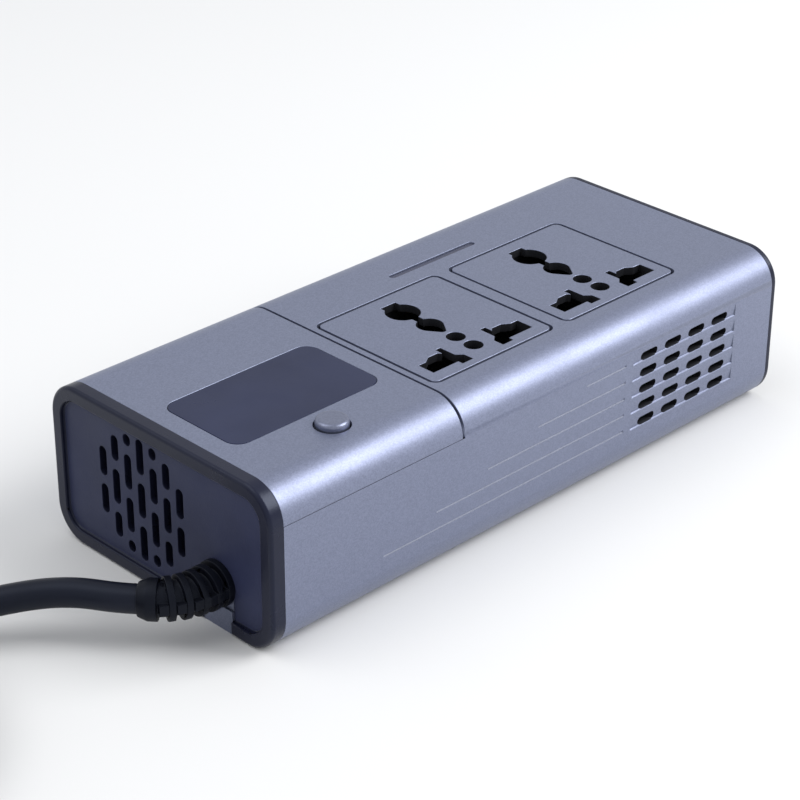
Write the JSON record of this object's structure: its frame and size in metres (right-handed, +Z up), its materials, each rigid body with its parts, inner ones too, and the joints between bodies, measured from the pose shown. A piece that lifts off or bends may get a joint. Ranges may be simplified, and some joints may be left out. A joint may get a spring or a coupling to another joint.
{
  "type": "power inverter",
  "caption": "Slim silver car power inverter with flush universal sockets, display window, power button, fan grille in a dark end cap and a 12 V lead wound in a coil with its plug.",
  "frame": {"origin": "bottom centre of the box, on the surface it rests on", "axes": "+X along the box towards its plain rear end, so the fan and the lead are at -X; +Y across the box, towards the indicator slot; +Z up"},
  "size_m": [0.37, 0.0793, 0.0385],
  "materials": {
    "silver_shell": "metallic silver-grey paint with a fine sparkle",
    "button_silver": "satin metallic silver paint",
    "cap_plastic": "fine satin charcoal plastic",
    "display_lens": "dark smoked satin lens",
    "indicator_lens": "smoked diffusing plastic",
    "lcd_glass": "dark display glass",
    "housing_plastic": "dark grey moulded plastic",
    "contact_brass": "bright sprung brass",
    "fan_plastic": "black moulded plastic",
    "screw_steel": "zinc-plated steel",
    "board_green": "green solder mask",
    "ferrite": "sintered ferrite, dark grey",
    "winding_tape": "yellow insulating tape",
    "sink_aluminium": "plain extruded aluminium",
    "package_plastic": "black moulded packages",
    "can_sleeve": "dark shrink sleeve",
    "fuse_orange": "amber translucent plastic",
    "wire_red": "red insulation",
    "wire_black": "black insulation",
    "cord_rubber": "black satin rubber",
    "tie_black": "black woven strap",
    "plug_plastic": "black satin plastic",
    "plug_nut_plastic": "black fluted plastic",
    "plug_metal": "nickel-plated metal",
    "fuse_glass": "clear glass tube"
  },
  "bodies": {
    "case": {"blade_fuses": "fuse_orange", "board_screws": "screw_steel", "bottom_cover": "silver_shell", "bulk_capacitor": "can_sleeve", "case_screws": "screw_steel", "cord": "cord_rubber", "cord_coil": "cord_rubber", "cord_strain_relief": "cord_rubber", "cord_tail": "cord_rubber", "cord_tie": "tie_black", "display_board": "board_green", "display_screws": "screw_steel", "display_window": "display_lens", "fan_frame": "fan_plastic", "fan_screws": "screw_steel", "front_cap": "cap_plastic", "front_cover": "silver_shell", "heat_sink": "sink_aluminium", "indicator_leds": "board_green", "input_capacitors": "can_sleeve", "lcd_module": "lcd_glass", "light_pipe": "indicator_lens", "main_board": "board_green", "mosfets": "package_plastic", "plug_body": "plug_plastic", "plug_nose_nut": "plug_nut_plastic", "plug_strain_relief": "cord_rubber", "rear_cap": "cap_plastic", "socket_earth_contact_1": "contact_brass", "socket_earth_contact_2": "contact_brass", "socket_housing_1": "housing_plastic", "socket_housing_2": "housing_plastic", "socket_live_contact_1": "contact_brass", "socket_live_contact_2": "contact_brass", "socket_neutral_contact_1": "contact_brass", "socket_neutral_contact_2": "contact_brass", "socket_plate_1": "silver_shell", "socket_plate_2": "silver_shell", "supply_wire_negative": "wire_black", "supply_wire_positive": "wire_red", "tact_switch": "housing_plastic", "transformer_core": "ferrite", "transformer_winding": "winding_tape", "upper_shell": "silver_shell"},
    "power_button": {"power_button": "button_silver"},
    "fan_rotor": {"fan_rotor": "fan_plastic"},
    "plug_tip": {"plug_tip_pin": "plug_metal", "plug_fuse": "fuse_glass"},
    "plug_contact_left": {"plug_contact_left": "plug_metal"},
    "plug_contact_right": {"plug_contact_right": "plug_metal"}
  },
  "joints": [
    {"name": "power_button_press", "type": "slide", "parent": "case", "child": "power_button", "axis": [0, 0, -1], "range_m": [0, 0.0008], "stiffness_N_per_m": 400},
    {"name": "fan_spin", "type": "hinge", "parent": "case", "child": "fan_rotor", "pos_m": [-0.07, 0.0063, 0.0187], "axis": [1, 0, 0], "continuous": true},
    {"name": "plug_tip_press", "type": "slide", "parent": "case", "child": "plug_tip", "axis": [0.866, 0.5, 0], "range_m": [0, 0.004], "stiffness_N_per_m": 600},
    {"name": "plug_contact_left_press", "type": "slide", "parent": "case", "child": "plug_contact_left", "axis": [-0.5, 0.866, 0], "range_m": [0, 0.0011], "stiffness_N_per_m": 1500},
    {"name": "plug_contact_right_press", "type": "slide", "parent": "case", "child": "plug_contact_right", "axis": [0.5, -0.866, 0], "range_m": [0, 0.0011], "stiffness_N_per_m": 1500}
  ]
}
